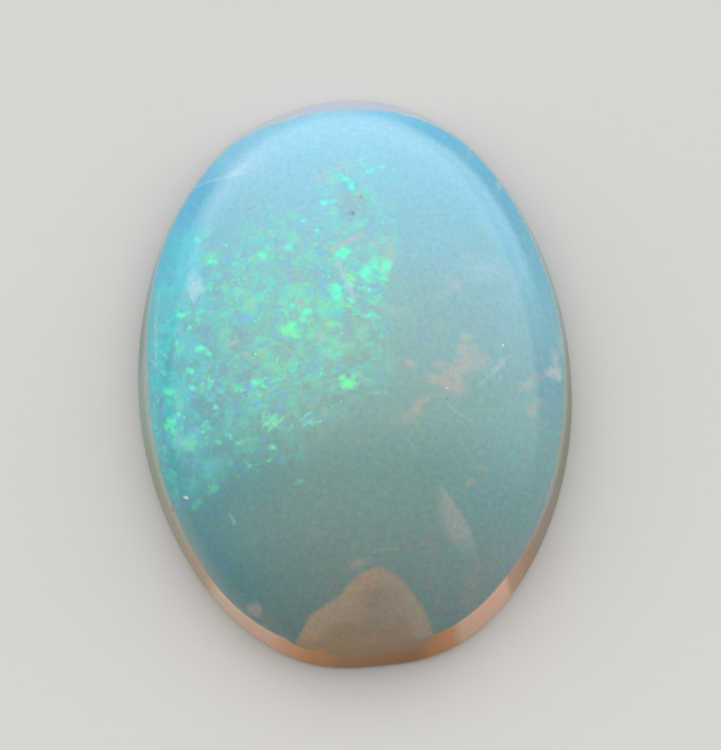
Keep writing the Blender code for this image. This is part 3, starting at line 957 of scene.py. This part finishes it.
def fire_strength(graph):
    """How strong the play of colour is: full in its hearts, weaker between them, gone at its ragged edge."""
    uneven = graph.uneven("fire")
    edge = graph.shifted(graph.named("fire"), uneven, "fire_edge")
    near_heart = graph.shifted(graph.named("heart"), uneven, "fire_heart")
    strength = graph.times(graph.faded(edge, "fire_edge"), graph.faded(near_heart, "fire_heart"))
    for field, fade in (("fire_cut", "fire_cut"), ("wall", "fire_on_wall"), ("rim", "fire_at_rim")):
        strength = graph.times(strength, graph.faded(graph.named(field), fade))
    return strength


def bent_place(graph):
    """The place moved about a little at random, so that what is drawn there gets crooked edges."""
    bend_by = graph.vector("SUBTRACT", graph.grain("bend", "Color"), (NOISE_MIDDLE,) * 3)
    return graph.vector("ADD", graph.place, graph.scaled(bend_by, SHIFTS["fire_bend"]))


def fire_patches(graph, colour, where, kind, strength, warm):
    """Angular patches: the higher a cell's first value, the more it shows; its second value is its hue."""
    size, softness, low, high = kind
    lit, hue = graph.cells(where, size, softness)
    tint = graph.ramp(graph.sums("ADD", hue, warm), FIRE_HUES)
    return graph.mixed(graph.times(graph.eased(lit, low, high), strength), colour, tint)


def scattered_fire(graph, body):
    """Play of colour between the single patches, over a glow that is deepest and bluest on the left."""
    inside = fire_strength(graph)
    bent = bent_place(graph)
    turned = {"Vector": bent, "Rotation": (0, 0, math.radians(STREAK_TURN)), "Scale": STREAK_SCALE}
    streaked = graph.node("ShaderNodeMapping", turned).outputs[0]
    across = graph.named("across")
    left = graph.faded(across, "fire_left")
    glow = graph.patchy("glow")
    glow = graph.times(glow, graph.faded(left, "glow_left"), graph.faded(across, "glow_right"), inside)
    colour = graph.mixed(glow, body, graph.mixed(left, TINTS["glow"], TINTS["glow_left"]))
    warm = graph.sums("ADD", graph.faded(across, "warm_right"), graph.faded(graph.named("up"), "cool_top"))
    large = graph.times(inside, LARGE_PATCH_STRENGTH)
    middle = graph.times(inside, graph.patchy("patch"))
    small = graph.times(inside, graph.patchy("spark"))
    colour = fire_patches(graph, colour, bent, LARGE_PATCHES, large, warm)
    colour = fire_patches(graph, colour, streaked, MIDDLE_PATCHES, middle, warm)
    return fire_patches(graph, colour, streaked, SMALL_PATCHES, small, warm)


def body_colour(graph):
    """The milky body: paler and bluer upwards, partly painted sheen of the light above; with a milky band
    near the top of the rim, partly painted sheen, and a deeper blue one at the rim, painted shade where the
    rim reflects no light.
    """
    up = graph.named("up")
    drift = graph.uneven("body")
    # Paler and bluer upwards: partly the opal's own colour, partly painted sheen of the light above.
    colour = graph.ramp(graph.shifted(up, drift, "body_up"), BODY_AND_SHEEN_STOPS)
    across = graph.shifted(graph.named("across"), drift, "body_across")
    from_left = across
    for name in ("middle_shift", "top_shift", "low_shift", "foot_shift"):
        from_left = graph.sums("ADD", from_left, graph.faded(up, name))
    for side, value in (("left_side", from_left), ("right_side", across)):
        colour = graph.mixed(graph.faded(value, side), colour, graph.shaded(colour, SHADES[side]))
    # Near the top of the rim, a milky band that is partly the stone's milky blue and partly painted sheen of
    # the light above.
    milky = graph.faded(graph.shifted(graph.named("rim"), drift, "milky_rim_and_sheen"), "milky_rim_and_sheen")
    colour = graph.mixed(graph.times(milky, graph.faded(up, "sheen_near_top")), colour, TINTS["milky_rim_and_sheen"])
    # The deeper blue band along the rim is painted shade where the rim reflects no light.
    return graph.mixed(graph.named("deep"), colour, graph.named("rim_shade_tint", "Color"))


def mottled(graph, colour):
    """A colour made a little uneven, in brightness and in hue."""
    bright = graph.patchy("bright")
    bright = graph.node("ShaderNodeCombineColor", {0: bright, 1: bright, 2: bright}).outputs[0]
    hues = graph.grain("hue", "Color")
    return graph.mixed(HUE_UNEVENNESS, graph.shaded(colour, bright), hues, "SOFT_LIGHT")


def potch_colour(graph):
    """The pinkish grey patch: paler towards its edge, darker low down, and warmer at the shoulder itself,
    where painted orange glow stands for light passing through the stone's foot.
    """
    uneven = graph.uneven("drift")
    colour = graph.mixed(graph.patchy("drift"), TINTS["potch"], TINTS["potch_pale"])
    low = graph.shifted(graph.named("up"), uneven, "potch_low")
    colour = graph.mixed(graph.faded(low, "potch_low"), colour, TINTS["potch_low"])
    edge = graph.faded(graph.shifted(graph.named("potch"), uneven, "potch_edge"), "potch_edge")
    right = graph.faded(graph.named("across"), "potch_right")
    colour = graph.mixed(edge, colour, graph.mixed(right, TINTS["potch_left"], TINTS["potch_right"]))
    return graph.mixed(graph.faded(low, "potch_foot_glow"), colour, TINTS["potch_foot_glow"])


def wall_colour(graph):
    """The side wall: its tint at each angle, partly painted glow of light passing through it low down, uneven
    in fine streaks, with a pale line along the shoulder that is a painted highlight.
    """
    zone = graph.named("zone")
    potch_wall_glow = graph.named("potch_wall_glow")
    down = graph.shifted(zone, graph.uneven("drift"), "wall_top")
    upper = graph.times(graph.faded(down, "potch_on_wall"), potch_wall_glow)
    colour = graph.mixed(upper, graph.named("wall_tint_and_glow", "Color"), TINTS["potch_wall_glow"])
    speckle = graph.faded(graph.grain("bright"), "speckle")
    colour = graph.mixed(speckle, colour, graph.shaded(colour, SHADES["speckle"]))
    # A painted highlight along the shoulder, kept off the grey patch's wall and off the foot.
    line = graph.faded(graph.shifted(zone, graph.uneven("bright"), "shoulder_highlight"), "shoulder_highlight")
    line = graph.times(line, graph.faded(potch_wall_glow, "off_potch_wall"))
    line = graph.times(line, graph.faded(graph.named("up"), "above_foot"))
    return graph.mixed(line, colour, TINTS["shoulder_highlight"])


def opal_colour(graph):
    """The whole colour of the stone, with the sheen, shade, glow and glints that are painted into it."""
    marks = Marks(graph)
    wall = graph.named("wall")
    colour = marks.laid(body_colour(graph), INNER_MARKS)
    wedge = graph.times(graph.named("wedge"), graph.patchy("wedge"))
    colour = graph.mixed(wedge, colour, TINTS["wedge"])
    # The side wall, partly painted glow of light passing through it low down.
    colour = graph.mixed(graph.faded(wall, "on_wall"), colour, wall_colour(graph))
    colour = marks.laid(scattered_fire(graph, colour), FIRE_MARKS)
    outline = graph.shifted(graph.named("potch"), marks.uneven["ragged"], "potch_outline")
    in_potch = graph.times(graph.faded(outline, "potch_outline"), graph.faded(wall, "on_dome"))
    colour = graph.mixed(in_potch, colour, potch_colour(graph))
    return marks.laid(mottled(graph, colour), TOP_MARKS)


def new_material(name):
    """An empty material, the graph to build it with, and its shader."""
    material = bpy.data.materials.new(name)
    material.use_nodes = True
    return material, Graph(material.node_tree), material.node_tree.nodes["Principled BSDF"]


def opal_material():
    """Polished opal: milky body, play of colour and inclusions under a glassy surface."""
    material, graph, shader = new_material("opal")
    polished = graph.patchy("polish")
    ground = graph.faded(graph.named("zone"), "ground")
    roughness = graph.node("ShaderNodeMix", {0: ground, 2: polished, 3: GROUND_ROUGHNESS}).outputs[0]
    pits = graph.patchy("pits")
    relief = graph.shifted(graph.grain("waves"), pits, "pits")
    graph.feed(shader.inputs["Base Color"], opal_colour(graph))
    graph.feed(shader.inputs["Roughness"], roughness)
    graph.feed(shader.inputs["Normal"], graph.bumped(relief, *STONE_RELIEF))
    shader.inputs["IOR"].default_value = STONE_IOR
    return material


def make_stone():
    """The stone as one smooth closed mesh, with its marks and its material."""
    points, zones, ring_count = stone_points()
    mesh = bpy.data.meshes.new("opal_stone")
    mesh.from_pydata((points * MM).tolist(), [], stone_faces(ring_count))
    mesh.shade_smooth()
    mark_stone(mesh, points, zones)
    mesh.materials.append(opal_material())
    stone = bpy.data.objects.new("opal_stone", mesh)
    bpy.context.scene.collection.objects.link(stone)
    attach(stone, "root")
    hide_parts("opal_cabochon")


def floor_material():
    """Matt pale floor: a trace of unevenness in its colour, its roughness and its surface."""
    material, graph, shader = new_material("floor")
    pale = graph.patchy("floor")
    grit = graph.grain("grit")
    graph.feed(shader.inputs["Base Color"], graph.mixed(pale, TINTS["floor"], TINTS["floor_pale"]))
    graph.feed(shader.inputs["Roughness"], graph.faded(grit, "floor_roughness"))
    graph.feed(shader.inputs["Normal"], graph.bumped(grit, *FLOOR_RELIEF))
    return material


def make_floor():
    """A plain pale floor under the stone."""
    half = FLOOR_HALF_SIZE
    corners = [(-half, -half, 0), (half, -half, 0), (half, half, 0), (-half, half, 0)]
    mesh = bpy.data.meshes.new("floor")
    mesh.from_pydata(corners, [], [(0, 1, 2, 3)])
    mesh.materials.append(floor_material())
    floor = bpy.data.objects.new("floor", mesh)
    bpy.context.scene.collection.objects.link(floor)


def make_camera():
    """A far camera at the photograph's angle, framed as the photograph is."""
    right, up, back = camera_axes()
    data = bpy.data.cameras.new("camera")
    data.sensor_width = SENSOR
    data.lens = SENSOR * CAMERA_DISTANCE / (FRAME_HEIGHT_PX * MM_PER_PX)
    data.clip_start = CLIP_START
    data.clip_end = CLIP_END
    camera = bpy.data.objects.new("camera", data)
    turned = Matrix((right, up, back)).transposed().to_4x4()
    camera.matrix_world = Matrix.Translation((camera_target() + back * CAMERA_DISTANCE) * MM) @ turned
    bpy.context.scene.collection.objects.link(camera)
    bpy.context.scene.camera = camera


def make_sky():
    """A soft sky: a broad bright softbox from overhead down towards +Y, and a dim fill elsewhere."""
    world = bpy.data.worlds.new("studio")
    world.use_nodes = True
    graph = Graph(world.node_tree)
    background = world.node_tree.nodes["Background"]
    parts = graph.node("ShaderNodeSeparateXYZ", {0: graph.direction}).outputs
    lit = graph.times(graph.faded(parts["Y"], "softbox"), graph.faded(parts["Z"], "horizon"))
    strength = graph.sums("MULTIPLY_ADD", lit, SOFTBOX_STRENGTH - FILL_STRENGTH, FILL_STRENGTH)
    graph.feed(background.inputs["Strength"], strength)
    background.inputs["Color"].default_value = (1, 1, 1, 1)
    bpy.context.scene.world = world


make_camera()
make_sky()
make_floor()
make_stone()
bpy.context.scene.view_settings.view_transform = "Standard"
